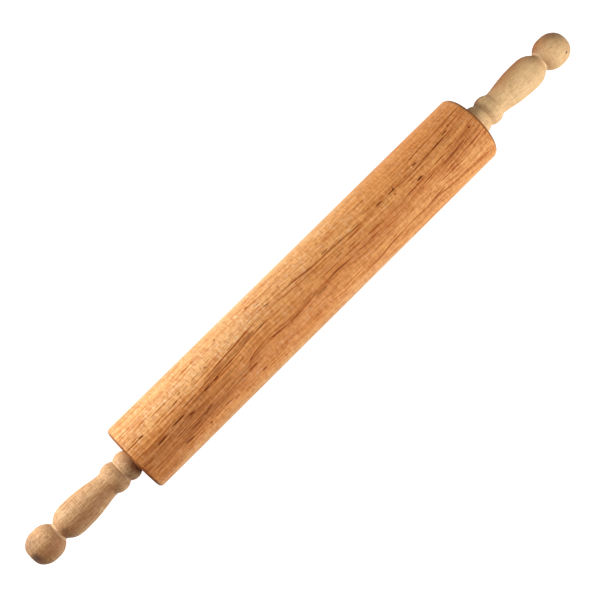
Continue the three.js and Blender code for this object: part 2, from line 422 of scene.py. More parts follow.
def handle_shape(settings, lean):
    """The +X handle, from the bottom of its blind bore round its outside, which leans, to its nose."""
    face = HANDLE_FACE
    groove = face + settings.collar_length
    ring_end = groove + settings.ring_length
    waist = ring_end + settings.waist_length
    neck_end = waist + settings.grip_rise + settings.grip_fall + settings.neck_width
    collar = bead_outline(
        face, settings.collar_length, settings.collar_root, settings.groove_radius, settings.collar_radius
    )
    ring = bead_outline(
        groove, settings.ring_length, settings.groove_radius, settings.waist_radius, settings.ring_radius
    )
    bore = [
        (face + settings.tip_depth, 0),
        (face + settings.tip_depth, settings.tip_bore),
        (face + settings.bore_depth, settings.tip_bore),
        (face + settings.bore_depth, settings.bore),
        (face, settings.bore),
    ]
    outline = bore + collar + ring[1:] + grip_outline(settings, waist) + ball_outline(settings, neck_end)
    shape = turned(outline, HANDLE_STEPS)
    bore_end = face + settings.tip_depth + MERGE_DISTANCE
    outside = [v for v in shape.verts if off_axis(v) > settings.bore + MERGE_DISTANCE or v.co.x > bore_end]
    shear = Matrix.Shear("YZ", 4, (math.tan(lean), 0))
    bmesh.ops.transform(shape, matrix=shear, space=Matrix.Translation((-face, 0, 0)), verts=outside)
    return shape


THREAD_FACETS = 48
THREAD_RINGS = 12  # rings of points in each turn of a thread


def thread_rings(start, end, pitch):
    """Places along the axis, from start to end, close enough together to carry a thread."""
    count = round((end - start) / pitch * THREAD_RINGS)
    return [start + (end - start) * step / count for step in range(count + 1)]


def cut_thread(shape, open_end, run_out, radius, settings):
    """Cut a right-hand thread into the round side, from its open end to the place where it runs out."""
    low, high = sorted((open_end, run_out))
    for vertex in shape.verts:
        along = vertex.co.x
        on_side = abs(off_axis(vertex) - radius) < MERGE_DISTANCE
        if on_side and low - MERGE_DISTANCE < along < high + MERGE_DISTANCE:
            turn = math.atan2(vertex.co.z, vertex.co.y) / FULL_TURN
            flank = abs(2 * ((along / settings.pitch - turn) % 1) - 1)
            ease = min(1, abs(along - run_out) / settings.pitch)
            share = 1 - settings.depth * flank * ease / radius
            vertex.co.y *= share
            vertex.co.z *= share


def rod_shape(settings):
    """The rod: chamfered, and threaded at both ends."""
    tip, radius = ROD_TIP, settings.radius
    open_end = tip - settings.chamfer
    run_out = open_end - settings.thread_length
    threaded = [(place, radius) for place in thread_rings(run_out, open_end, settings.pitch)]
    right_half = [*threaded, (tip, radius - settings.chamfer), (tip, 0)]
    left_half = [(-along, reach) for along, reach in reversed(right_half)]
    shape = turned([*left_half, *right_half], THREAD_FACETS)
    cut_thread(shape, open_end, run_out, radius, settings)
    cut_thread(shape, -open_end, -run_out, radius, settings)
    return shape


def insert_shape(settings):
    """The right handle's insert: a sleeve with a coarse thread that grips the wood."""
    near, far = INSERT_LOW.x, INSERT_HIGH.x
    radius = settings.radius
    shoulder = radius - settings.chamfer
    run_out, open_end = near + settings.chamfer, far - settings.chamfer
    threaded = [(place, radius) for place in thread_rings(run_out, open_end, settings.pitch)]
    bore = [(far, settings.bore), (near, settings.bore)]
    shape = turned([(near, shoulder), *threaded, (far, shoulder), *bore], THREAD_FACETS, closed=True)
    cut_thread(shape, open_end, run_out, radius, settings)
    return shape


# Finishes

class Level:
    """A number that varies over a surface. Arithmetic with levels becomes Math nodes."""

    def __init__(self, finish, socket):
        self.finish = finish
        self.socket = socket

    def __add__(self, other):
        return self.finish.calc("ADD", self, other)

    def __sub__(self, other):
        return self.finish.calc("SUBTRACT", self, other)

    def __rsub__(self, other):
        return self.finish.calc("SUBTRACT", other, self)

    def __mul__(self, other):
        return self.finish.calc("MULTIPLY", self, other)

    def __truediv__(self, other):
        return self.finish.calc("DIVIDE", self, other)

    def __pow__(self, other):
        return self.finish.calc("POWER", self, other)

    def __abs__(self):
        return self.finish.calc("ABSOLUTE", self)

    __radd__ = __add__


class Finish:
    """A material under construction, with short calls for the nodes that finishes share. Lengths in mm."""

    def __init__(self, name):
        self.material = bpy.data.materials.new(name)
        self.material.use_nodes = True
        self.tree = self.material.node_tree
        self.shader = self.tree.nodes["Principled BSDF"]
        place = self.add("ShaderNodeTexCoord").outputs["Object"]
        self.place = self.vector("SCALE", place, scale=1 / MM)
        self.along, self.across, self.up = self.parts(self.place)

    def add(self, kind, **settings):
        node = self.tree.nodes.new(kind)
        for name, value in settings.items():
            setattr(node, name, value)
        return node

    def add_linked(self, kind, **inputs):
        node = self.add(kind)
        for name, value in inputs.items():
            self.plug(value, node.inputs[name])
        return node

    def plug(self, value, socket):
        """Link a level or a node's output to a socket, or set the socket to a constant."""
        source = value.socket if isinstance(value, Level) else value
        if isinstance(source, bpy.types.NodeSocket):
            self.tree.links.new(source, socket)
        else:
            socket.default_value = source

    def surface(self, **inputs):
        """Set the shader's own inputs, with underscores for the spaces in their names."""
        for name, value in inputs.items():
            self.plug(value, self.shader.inputs[name.replace("_", " ")])

    def calc(self, operation, *values):
        node = self.add("ShaderNodeMath", operation=operation)
        for value, socket in zip(values, node.inputs):
            self.plug(value, socket)
        return Level(self, node.outputs[0])

    def largest(self, first, *others):
        for other in others:
            first = self.calc("MAXIMUM", first, other)
        return first

    def vector(self, operation, first, second=None, scale=None):
        node = self.add("ShaderNodeVectorMath", operation=operation)
        self.plug(first, node.inputs[0])
        if second is not None:
            self.plug(second, node.inputs[1])
        if scale is not None:
            node.inputs["Scale"].default_value = scale
        if operation in ("LENGTH", "DOT_PRODUCT"):
            return Level(self, node.outputs["Value"])
        return node.outputs["Vector"]

    def parts(self, vector):
        """A vector's three parts."""
        node = self.add_linked("ShaderNodeSeparateXYZ", Vector=vector)
        return [Level(self, output) for output in node.outputs]

    def step(self, value, low, high, bottom=0.0, top=1.0):
        """A smooth step of value from bottom at low to top at high."""
        node = self.add("ShaderNodeMapRange", interpolation_type="SMOOTHSTEP", clamp=False)
        for name, number in (
            ("Value", value), ("From Min", low), ("From Max", high), ("To Min", bottom), ("To Max", top)
        ):
            self.plug(number, node.inputs[name])
        return Level(self, node.outputs["Result"])

    def ramp(self, value, low, high):
        """A straight rise of value from 0 at low to 1 at high, level beyond them."""
        held = self.calc("MINIMUM", self.calc("MAXIMUM", value, low), high)
        return (held - low) / (high - low)

    def curve(self, value, points):
        """A smooth curve through (value, result) points, level beyond its ends."""
        first, last = points[0][0], points[-1][0]
        results = [result for _, result in points]
        low, high = min(results), max(results)
        scale = 1 / (last - first)
        scaled = [((place - first) * scale, (result - low) / (high - low)) for place, result in points]
        share = self.calc("MULTIPLY_ADD", value, scale, -first * scale)
        node = self.add_linked("ShaderNodeFloatCurve", Value=share)
        line = node.mapping.curves[0].points
        line[0].location, line[1].location = scaled[0], scaled[-1]
        for place in scaled[1:-1]:
            line.new(*place)
        node.mapping.extend = "HORIZONTAL"
        node.mapping.update()
        return self.calc("MULTIPLY_ADD", node.outputs[0], high - low, low)

    def degrees_round(self):
        """Degrees round the pin's axis, from its top towards +Y."""
        return self.calc("DEGREES", self.calc("ARCTAN2", self.across, self.up))

    def turn_place(self, radians):
        """Turn the place that the streaks and rings are read at about the X axis."""
        node = self.add("ShaderNodeVectorRotate", rotation_type="X_AXIS")
        self.plug(self.place, node.inputs["Vector"])
        self.plug(radians, node.inputs["Angle"])
        self.place = node.outputs["Vector"]

    def facing_ends(self):
        """How far the surface faces one of the pin's ends, from 0 to 1."""
        normal = self.add("ShaderNodeNewGeometry").outputs["Normal"]
        return abs(self.parts(normal)[0])

    def streaks(self, length, width, detail, seed):
        """Noise from 0 to 1 in patches of that length along the grain and that width across it."""
        stretched = self.vector("MULTIPLY", self.place, (1 / length, 1 / width, 1 / width))
        moved = self.vector("ADD", stretched, [seed * stride for stride in SEED_STRIDE])
        node = self.add_linked(
            "ShaderNodeTexNoise", Vector=moved, Scale=1.0, Detail=detail, Roughness=NOISE_ROUGHNESS
        )
        return Level(self, node.outputs[0])

    def swing(self, reach, streaks):
        """Streaks that swing to both sides of zero, over that reach in all."""
        return (self.streaks(*streaks) - 0.5) * reach

    def fading_streaks(self, table):
        """Streaks by name that fade in from one level of the noise to another."""
        return {name: self.step(self.streaks(*streaks), *fade) for name, (streaks, fade) in table.items()}

    def mix(self, share, first, second, mode="MIX"):
        """One colour mixed into another."""
        node = self.add("ShaderNodeMix", data_type="RGBA", blend_type=mode, clamp_factor=True)
        self.plug(share, node.inputs["Factor"])
        for value, name in ((first, "A"), (second, "B")):
            socket = [s for s in node.inputs if s.name == name and s.type == "RGBA"][0]
            self.plug(value if isinstance(value, bpy.types.NodeSocket) else (*value, 1.0), socket)
        return [s for s in node.outputs if s.type == "RGBA"][0]

    def bump(self, height, distance):
        node = self.add_linked("ShaderNodeBump", Height=height, Distance=distance, Strength=1.0)
        self.surface(Normal=node.outputs["Normal"])


SEED_STRIDE = (1.0, 1.7, 2.3)  # how far one more in the seed moves the noise along each axis
NOISE_ROUGHNESS = 0.55
RING_WANDER = (130, 46, 1.5, 3.1)  # streaks: length, width, detail and seed
RING_WAVER = (34, 9, 2, 7.7)


def layered(streaks, shares):
    """Streaks added up, each by its share."""
    return sum(streaks[name] * share for name, share in shares.items())


def growth_rings(finish, width, pith, lean, wander, waver):
    """Growth rings about a pith line off the piece: which ring a point is in, and how far through it."""
    from_pith = finish.vector("SUBTRACT", finish.place, (0, *pith))
    radial = finish.vector("LENGTH", finish.vector("MULTIPLY", from_pith, (0, 1, 1)))
    uneven = finish.swing(wander, RING_WANDER) + finish.swing(waver, RING_WAVER)
    count = (radial + finish.along * lean + uneven) / width
    return finish.calc("FLOOR", count), finish.calc("FRACT", count)


# Grain lines: (along the roller in mm, degrees round it from its top towards +Y)
MAIN_LINE = (
    (-114, -2), (-96, 0.8), (-87, 2), (-80, 3), (-72, 4), (-66, 5.3), (-60, 6), (-54, 7), (-48, 8),
    (-41, 8.5),
)
MAIN_TAIL = ((-36, 5), (-30, 5.8), (-25, 7), (-20, 6.7), (-12, 5))
UPPER_LINE = (
    (-56, 25.3), (-48, 26.8), (-42, 26.3), (-36, 26), (-33, 25), (-28, 24), (-22, 22.8), (-16, 22),
    (-8, 21.3), (0, 20), (5, 18.7), (10, 17.8), (16, 17.3), (22, 16.6), (28, 17), (34, 16.3), (41, 15.7),
    (48, 14.7), (56, 13.6), (66, 14.3), (79, 14.3), (100, 14.3), (112, 13), (121, 13.2), (128, 14.2),
    (132, 15.5), (146, 16.6), (160, 17.8), (168, 19.8), (180, 22.5),
)
SECOND_LINE = (
    (-98, 12), (-84, 14), (-72, 15.3), (-64, 17), (-52, 18.7), (-36, 19.6), (-28, 18.8), (-20, 17),
    (-12, 15.5), (0, 13.1), (6, 12.8), (13, 11.4), (25, 10.9), (40, 9.5), (60, 8.5),
)
TONGUE_LINE = (
    (-77.5, -24.5), (-75, -21.5), (-72.3, -18.5), (-70.5, -15.5), (-67, -13.6), (-60, -11.5), (-55, -11),
    (-50, -13), (-44, -15.8), (-38, -16.8), (-26, -17.5), (-18, -16.5), (-8, -14.7), (3, -12.8), (14, -13),
    (22, -12.3), (30, -13.3), (46, -14.3), (54, -16), (66, -17.3), (84, -18.5),
)
TONGUE_BRANCH = ((54, -13.3), (60, -14.5), (66, -15), (80, -14))
LOWER_START = ((-66, -32), (-52, -35), (-36, -38), (-20, -39), (-8, -40), (-3, -41.5), (3, -45.5))
LOWER_LINE = (
    (5, -43.3), (10, -45.5), (16, -47.3), (28, -48.6), (42, -49.4), (52, -49.3), (62, -48), (70, -45.3),
    (80, -44), (92, -42.5), (104, -42.5), (114, -43), (121, -42.2), (128, -44.3), (140, -47),
    (152, -49), (166, -51.8), (183, -55.5),
)
LOWER_BRANCH = ((110, -42.5), (119, -41), (126, -40), (136, -39.3))
LOWEST_LINE = ((-22, -48), (-10, -50.3), (0, -54))
FAN_LINES = (
    ((138, -11), (150, -9.5), (160, -8), (170, -4.5), (183, 0)),
    ((158, 1.8), (166, 3), (174, 5.5), (184, 8)),
    ((130, -25), (145, -21.5), (158, -19), (170, -18), (184, -14)),
    ((158, -31), (163, -28), (168, -25), (176, -21.5)),
    ((90, 31), (130, 31.2), (147, 33), (165, 35), (182, 38)),
)
# Each line with its darkness, its width in mm, and the width of the shade on one side of it, + towards +Y
GRAIN_LINES = (
    (MAIN_LINE, 1.0, 0.9, 4.0),
    (MAIN_TAIL, 0.85, 0.8, -2.0),
    (UPPER_LINE, 1.0, 0.85, -1.0),
    (SECOND_LINE, 0.9, 0.8, -1.0),
    (TONGUE_LINE, 1.0, 1.0, -2.5),
    (TONGUE_BRANCH, 0.75, 0.8, -2.0),
    (LOWER_START, 0.5, 0.8, -3.0),
    (LOWER_LINE, 0.9, 0.85, -3.5),
    (LOWER_BRANCH, 0.8, 0.8, -2.0),
    (LOWEST_LINE, 0.6, 0.9, -3.0),
    *((line, 0.8, 0.85, -3.0) for line in FAN_LINES),
)
# How the fibres run: lines that they follow, each with the degrees at which it would lie if it were straight
FLOW_EDGE = 100
FLOW_LINES = (
    (((-187, -46), (-140, -43), (-100, -38), (-66, -36), (-36, -38), (-3, -41.5), (10, -45.5), (28, -48.6),
      (42, -49.4), (70, -45.3), (104, -42.5), (121, -42.2), (140, -47), (166, -51.8), (187, -56)), -40),
    (((-187, -22), (-140, -20), (-100, -17.5), (-75, -16), (-55, -13.5), (-40, -15), (-24, -16.5), (3, -13.2),
      (30, -13.3), (54, -16), (84, -18.5), (120, -18), (145, -17), (160, -14), (187, -5)), -15),
    (((-187, -12), (-160, -9.8), (-142, -6), (-120, -3), (-96, 0.8), (-72, 4), (-48, 8), (-33, 7.5),
      (-12, 4.5), (10, 1.5), (45, -1), (60, -2.5), (90, -3), (120, -1.2), (150, 1), (165, 4), (187, 9)), 0),
    (((-187, 7.5), (-140, 9.3), (-120, 10.3), (-98, 12), (-64, 17), (-36, 19.6), (-20, 17), (0, 13.1),
      (25, 10.9), (60, 8.5), (110, 7), (130, 8), (160, 12), (187, 17)), 12),
    (((-187, 17), (-160, 17.5), (-125, 20.5), (-100, 23), (-62, 25.5), (-48, 26.8), (-33, 25), (0, 20),
      (22, 16.6), (41, 15.7), (58, 13.6), (112, 13.2), (146, 16.6), (168, 19.8), (187, 24)), 20),
)

# Marks: along the roller in mm, degrees round it, length and width in mm, slant and darkness
GUM_FLECKS = (
    (-142, -5.5, 13, 1.1, 1, 1.0), (-160.5, -9.8, 11, 1.0, 4, 1.0), (-126, 3.3, 15, 0.8, 3, 0.8),
    (-110, 5.5, 12, 0.8, 3, 0.55), (-134.5, 16.2, 5.5, 1.1, 7, 0.75), (-128, 22.2, 4, 1.0, -2, 0.6),
    (-122, 21, 7, 0.8, 5, 0.6), (-110, 23, 10, 0.8, 3, 0.6), (-100.5, 23, 2.4, 1.1, 0, 0.9),
    (-178, 15.2, 16, 0.8, 1, 0.7), (-170.5, 15.5, 4.5, 1.2, -3, 1.0), (-146, -22.3, 11, 0.8, 2, 0.75),
    (-146, -40, 9, 1.2, -4, 0.95), (-176, -41, 1.6, 1.3, 0, 0.5), (-110.5, -1.8, 5.5, 1.3, 2, 0.7),
    (-100, -0.6, 6, 1.3, 4, 0.8), (-118.5, -24.5, 6, 0.9, 8, 0.8), (-123, -27, 4, 0.9, 0, 0.7),
    (-131, -12.3, 5, 1.4, 0, 0.7), (-135, -29, 9, 1.0, -3, 0.6), (-105.5, -41.8, 8, 0.9, -2, 0.6),
    (-97.5, -45.3, 5.5, 1.3, -2, 0.7), (-68, -44.3, 5, 1.4, 2, 0.8), (-76, 17.8, 8, 0.8, 4, 0.6),
    (-33.5, 25.2, 4, 1.2, -8, 0.8), (-46, 48, 3, 1.3, 0, 0.8), (-39, 37.6, 6, 0.9, 2, 0.75),
    (-17.5, 33.3, 2, 1.2, 0, 0.8), (-13.5, 48, 3, 1.2, 0, 0.55), (-80.5, 45.7, 2.4, 1.4, 0, 0.8),
    (-7, 4.8, 2, 1.0, 0, 0.7), (-48, 8, 5, 1.0, 4, 0.7), (-76, -7, 5, 1.1, 2, 0.55),
    (41, 15.8, 3, 1.1, 0, 0.7), (26.5, 20.9, 7, 1.1, -2, 0.8), (27.3, 40.5, 2.4, 1.1, 0, 0.6),
    (32, 1.7, 7, 0.9, 1, 0.7), (45, -1, 8, 1.0, -2, 0.7), (58, 13.4, 2.4, 1.0, 0, 0.8),
    (83, 14.3, 6, 1.2, 0, 0.9), (96.5, 14.4, 8, 1.0, 0, 0.8), (98.7, 16, 4.7, 0.9, 60, 0.8),
    (97, 7.8, 1.6, 1.6, 0, 0.6), (126.5, 30.5, 3.4, 1.0, 0, 0.8), (124.5, 19.6, 4.5, 1.2, 0, 0.9),
    (159, 22, 6.5, 1.0, 1, 1.0), (165.5, 26.5, 2.4, 1.2, 0, 0.8), (119.5, -1.2, 6, 1.2, 1, 1.0),
    (141, -1.7, 13, 0.9, 1, 0.7), (175.8, 1.4, 1.6, 1.6, 0, 0.7), (150, 17.3, 14, 0.9, 1, 0.7),
    (135, 15.5, 9, 0.9, 0, 0.7), (179.5, -1.5, 1.4, 1.4, 0, 0.5),
)
RED_FLECKS = (
    (-164.5, 31.6, 13, 0.9, 2, 0.7), (-163, 25.7, 2.5, 1.2, 0, 0.7), (-147, 27.4, 17, 0.8, 2, 0.6),
    (-127, 29.8, 11, 0.9, 3, 0.7), (-136.5, 9.4, 13, 0.9, 0, 0.55), (-113, 44.7, 9, 1.0, 2, 0.6),
    (-105, 46.6, 2.4, 1.8, 0, 0.4), (-91, 47, 2.6, 4.0, 0, 0.3), (-125, -46, 3.2, 2.0, 0, 1.0),
    (-165, 39.6, 1.8, 1.3, 0, 0.6), (-182, 27, 3, 1.0, 0, 0.5), (-179, 5.8, 15, 0.9, 5, 0.5),
    (-175, 19.2, 7, 0.9, 0, 0.6), (-180, -18.8, 14, 1.0, 1, 0.6), (-184.5, -23, 2.4, 1.8, 0, 0.8),
    (-119.5, -36.5, 10, 0.9, -10, 0.5), (-73, -26.8, 9, 1.6, -1, 0.8), (-48, -17.3, 7, 1.1, 2, 0.6),
    (-61.5, -48.5, 9, 1.4, -2, 0.5), (-48, -58.5, 2.6, 1.8, 0, 0.6), (-89.5, -42.9, 5, 1.0, 0, 0.5),
    (-81.5, -43.3, 6, 1.0, 0, 0.5), (-44, 29.4, 9, 0.9, 3, 0.6), (-60, 25.2, 6, 1.0, 0, 0.5),
    (-24, 35, 12, 0.9, -2, 0.5), (-39, 48.4, 12, 0.9, 1, 0.4), (17, 26.2, 11, 1.1, 13, 0.6),
    (26, 23.8, 3.5, 0.9, 0, 0.6), (69.5, 37.4, 16, 0.9, 1, 0.6), (0, -2.3, 7, 1.1, 1, 0.6),
    (19, -4.4, 19, 1.1, 0, 0.75), (43, -6.5, 18, 1.0, -3, 0.5), (66, -6.6, 14, 1.0, 1, 0.7),
    (88, -6.2, 16, 1.0, 1, 0.6), (110, -6, 28, 0.9, 2, 0.5), (116.5, -12, 28, 1.0, 4.5, 0.75),
    (113.5, 2, 8, 1.4, 0, 0.5), (112, 16.6, 4, 1.0, 0, 0.5), (154, 2.5, 10, 1.0, 3, 0.7),
    (146.5, -27, 8, 1.1, 0, 0.6), (136, -28.2, 10, 1.0, 0, 0.4), (116, -30, 9, 1.0, 2, 0.5),
    (73.5, -28.2, 8, 1.0, -1, 0.5), (110, 7, 16, 0.9, 0, 0.5), (81, -55.3, 10, 1.2, 2, 0.5),
    (60, -58.5, 9, 1.2, 2, 0.4), (71, -64, 3, 1.6, 0, 0.5), (111, -56, 2.5, 1.4, 0, 0.5),
    (154.6, 24.6, 3, 0.8, 75, 0.6), (115, 37.7, 3, 1.0, 0, 0.5),
)
STAINS = (
    (-118, -30, 70, 14, 1, 0.3), (-165, -26, 110, 24, 3, 0.5), (-175, -54, 50, 12, 0, 0.3),
    (-130, -31, 64, 11, 0, 0.55), (-131, -11.5, 10, 3.6, 0, 0.9), (-136, -16.5, 11, 2.8, 4, 0.7),
    (-121, -25, 17, 2.4, 3, 0.9), (-134, -29.5, 15, 2.0, -4, 0.7), (-144, -35, 20, 4, -2, 0.5),
    (-114, -1.5, 24, 2.6, 3, 0.8), (-118, -8, 26, 2.0, 1, 0.7), (-98, -8, 30, 2.0, 1, 0.7),
    (-104, -14, 26, 2.4, 0, 0.5), (-97, 8, 22, 4, 3, 0.75), (-90, 1.5, 18, 2.6, 4, 0.8),
    (-78, 8, 20, 4, 3, 0.6), (-63, 10, 16, 3.4, 2, 0.95), (-75, -24, 30, 7, 4, 0.35),
    (4, -18, 12, 2, 0, 0.7), (118, -54, 70, 9, 0, 0.3), (165, -44, 60, 22, 0, 0.22),
    (60, -10, 150, 9, 0, 0.08), (165, -12, 50, 14, 4, 0.45), (145, 14, 90, 6, 2, 0.25),
    (172, 30, 40, 8, 0, 0.3), (45, 15, 100, 3, -2, 0.12),
)
FLECK_EDGE = (1.5, 0.2)  # where a mark begins and is full, as the square of its reach
STAIN_EDGE = (1.9, 0.0)


def hand_marks(finish, spot, marks, edge):
    """How much of a mark lies at a point, from listed round-ended marks on the roller's side."""
    total = 0.0
    for along, degrees, length, width, slant, strength in marks:
        place = Vector((along, degrees * MM_PER_DEGREE))
        heading = Vector((math.cos(math.radians(slant)), math.sin(math.radians(slant))))
        lengthways, crossways = (
            finish.vector("DOT_PRODUCT", spot, (*axis, -axis.dot(place)))
            for axis in (heading * 2 / length, heading.orthogonal() * 2 / width)
        )
        reach = finish.calc("MULTIPLY_ADD", crossways, crossways, lengthways ** 4)
        total = finish.largest(finish.step(reach, *edge, 0.0, strength), total)
    return total


MM_PER_DEGREE = math.radians(ROLLER_HIGH.z / MM)
LINE_WOBBLE = (9, 4, 2, 5.5)
LINE_WOBBLE_REACH = 0.6
LINE_BREAKS = (24, 7, 2, 6.5)
BREAK_FADE = (0.32, 0.55, 0.3, 0.9)  # the noise's range, and a line's strength at its two ends
LINE_START = (-4, 8)  # where a line fades in past its first point, in mm
LINE_END = (6, -10)
LINE_CORE = 0.15  # share of a line's width at which it is darkest
SHADE_FADE_OUT = (1.0, 0.0)  # across a line's shade, in shares of its width
SHADE_FADE_IN = (-0.1, 0.05)


def grain_lines(finish, turn):
    """Thin lines through listed points, and the soft shade on one side of each."""
    wobble = finish.swing(LINE_WOBBLE_REACH, LINE_WOBBLE)
    breaks = finish.step(finish.streaks(*LINE_BREAKS), *BREAK_FADE)
    dark, shade = 0.0, 0.0
    for points, strength, width, shade_width in GRAIN_LINES:
        first, last = points[0][0], points[-1][0]
        centre = finish.curve(finish.along, points)
        off = finish.calc("MULTIPLY_ADD", turn - centre, MM_PER_DEGREE, wobble)
        fade_in = finish.step(finish.along, *(first + place for place in LINE_START))
        ends = fade_in * finish.step(finish.along, *(last + place for place in LINE_END))
        core = finish.step(abs(off), width, LINE_CORE * width, 0.0, strength)
        dark = finish.largest(core * ends * breaks, dark)
        beside = off / shade_width
        side = finish.step(beside, *SHADE_FADE_OUT) * finish.step(beside, *SHADE_FADE_IN)
        shade = finish.largest(side * ends, shade)
    return dark, shade


def flow_turn(finish, turn):
    """How far the fibres at a point are turned round the roller from where they would run straight."""
    straight = -FLOW_EDGE
    low_line, low = -FLOW_EDGE, -FLOW_EDGE
    lines = [(finish.curve(finish.along, points), degrees) for points, degrees in FLOW_LINES]
    for line, degrees in (*lines, (FLOW_EDGE, FLOW_EDGE)):
        straight = finish.calc("MULTIPLY_ADD", finish.ramp(turn, low_line, line), degrees - low, straight)
        low_line, low = line, degrees
    held = finish.calc("MINIMUM", finish.largest(turn, -FLOW_EDGE), FLOW_EDGE)
    return finish.calc("RADIANS", held - straight)


# Streaks on the roller: length, width, detail and seed, and the levels of noise between which they fade in
ROLLER_STREAKS = {
    "fibres": ((45, 1.4, 1, 1), (0.42, 0.58)),
    "threads": ((26, 0.9, 1, 2), (0.48, 0.60)),
    "hairs": ((90, 1.2, 0, 14), (0.58, 0.66)),
    "grit": ((3, 1, 1, 10), (0.35, 0.65)),
    "ripple": ((1.5, 6, 1, 16), (0.40, 0.62)),
    "clouds": ((70, 5, 3, 9.4), (0.35, 0.65)),
    "dashes": ((9, 1, 1, 4), (0.64, 0.72)),
    # Glints and glint patches: painted highlights along the fibres
    "glints": ((1.5, 4, 1, 8), (0.50, 0.66)),
    "glint_patches": ((22, 9, 1, 15), (0.38, 0.62)),
}
END_STREAKS = {"pores": ((6, 0.6, 1, 19), (0.50, 0.62))}
# How much each kind of streak browns the wood, breaks up the marks and stands out of the surface
ROLLER_TONE = {"fibres": 0.15, "threads": 0.36, "hairs": 0.2, "grit": 0.26, "ripple": 0.22, "clouds": 0.04}
RAGGED_SHARES = {"threads": 0.5, "fibres": 0.35}
RAGGED_BASE = 0.4
ROLLER_RELIEF = {"threads": -0.4, "dashes": -0.6}
RELIEF_DEPTH = 0.05 * MM
MARK_WOBBLE = (6, 2.5, 2, 5)
MARK_WOBBLE_REACH = 0.5
# Patches of the roller's side: the degrees round it and the mm along it over which they fade in
# The +Y side: pale sapwood and painted light
SAP_AND_LIT_ZONE = ((-5, 35), (110, -90))
# The -Y side towards +X: painted light
FAR_LIT_ZONE = ((-8, -38), (-90, 130))
# Both edges: a painted sheen
EDGE_ZONE = ((38, 75), (130, 40))
RUDDY_ZONE = ((-8, 25), (20, 150))
# The +Y edge less brown: a painted sheen
QUIET_ZONE = ((50, 70), (-120, -70))
HEART_FADE = (50, 8)  # degrees from the middle of the reddish band
BACK_FADE = (72, 110)  # degrees from the top, out of the hand-placed marks' reach
PITH_DISTANCE = 120.0
HEART_TURN = -27  # degrees from the top towards +Y at which the rings lie flat to the surface
RING_LEAN = 0.006
RING_UNEVENNESS = (5.0, 1.1)
LATE_WOOD_RISE = (0.5, 0.9)  # where a ring darkens and where it ends, as shares of its width
LATE_WOOD_FALL = (0.92, 1.0)
END_RING_RISE = (0.25, 0.95)
RING_LUCK = (0.1, 0.9)
RING_FADE = (50, 80)
RING_BASE, RING_BACK = 0.08, 0.4  # how dark rings are everywhere, and how much darker at the back
FAR_LIT_PALENESS = 0.2
RUDDY_SHARE = 0.8
SHADE_SMOKE = 0.12
SMOKE_SHARE = 0.5
QUIET_SHARE = 0.35
# The painted highlights show most on the lit +Y side, and less towards +X
SHEEN_ROUND = (-10, 40, 0.3, 0.7)  # fades in degrees and in mm, with the shares at their ends
SHEEN_ALONG = (130, -40, 0.5, 1.0)
BLUSH_SHARE = 1.4
LINE_SHARPNESS = 1.4
GUM_SHARPNESS = 1.2
DASH_BASE, DASH_BACK = 0.14, 0.3
# The ends and their rounded edges darken: dark end grain, and painted shade on the edges
END_FADE = (0.25, 0.75)
END_SHARE = 0.9
END_PORE_SHARE = 0.35
ROLLER_ROUGHNESS = (0.2, 1.0, 0.5, 0.65)  # from the tone's range to the roughness
ROLLER_SPECULAR = 0.1


def zone(finish, turn, degrees, places):
    """A patch of the roller's side that fades in round it and along it."""
    return finish.step(turn, *degrees) * finish.step(finish.along, *places)


def roller_rings(finish, settings, from_heart, back):
    """How dark the growth rings are on the roller's side, and on its ends."""
    heart = math.radians(HEART_TURN)
    pith = (-PITH_DISTANCE * math.sin(heart), -PITH_DISTANCE * math.cos(heart))
    age, through = growth_rings(finish, settings.ring_width / MM, pith, RING_LEAN, *RING_UNEVENNESS)
    on_ends = finish.step(through, *END_RING_RISE)
    luck = finish.add("ShaderNodeTexWhiteNoise", noise_dimensions="1D")
    finish.plug(age, luck.inputs["W"])
    late_wood = finish.step(through, *LATE_WOOD_RISE) - finish.step(through, *LATE_WOOD_FALL)
    uneven = late_wood * finish.step(luck.outputs["Value"], *RING_LUCK)
    on_side = uneven * finish.step(from_heart, *RING_FADE) * (back * RING_BACK + RING_BASE)
    return on_side, on_ends


def roller_ground(finish, settings, turn, from_heart):
    """The roller's colour without its grain: honey with a reddish heart, paler where the softboxes light it:
    pale sapwood and painted light on the +Y side, painted light on the -Y side towards +X, and a painted
    sheen along both edges.
    """
    # Paler where the softboxes light the roller: sapwood and painted light on the sides, painted sheen on the
    # edges
    sap_and_lit = zone(finish, turn, *SAP_AND_LIT_ZONE)
    far = zone(finish, turn, *FAR_LIT_ZONE)
    edge = zone(finish, abs(turn), *EDGE_ZONE)
    paleness = finish.largest(sap_and_lit, edge, far * FAR_LIT_PALENESS)
    ground = finish.mix(paleness, settings.honey, settings.pale)
    heart = finish.step(from_heart, *HEART_FADE) * finish.step(far, 1.0, 0.0, FAR_LIT_PALENESS, 1.0)
    ruddy = finish.largest(heart, zone(finish, turn, *RUDDY_ZONE) * RUDDY_SHARE)
    return finish.mix(ruddy, ground, settings.heart)


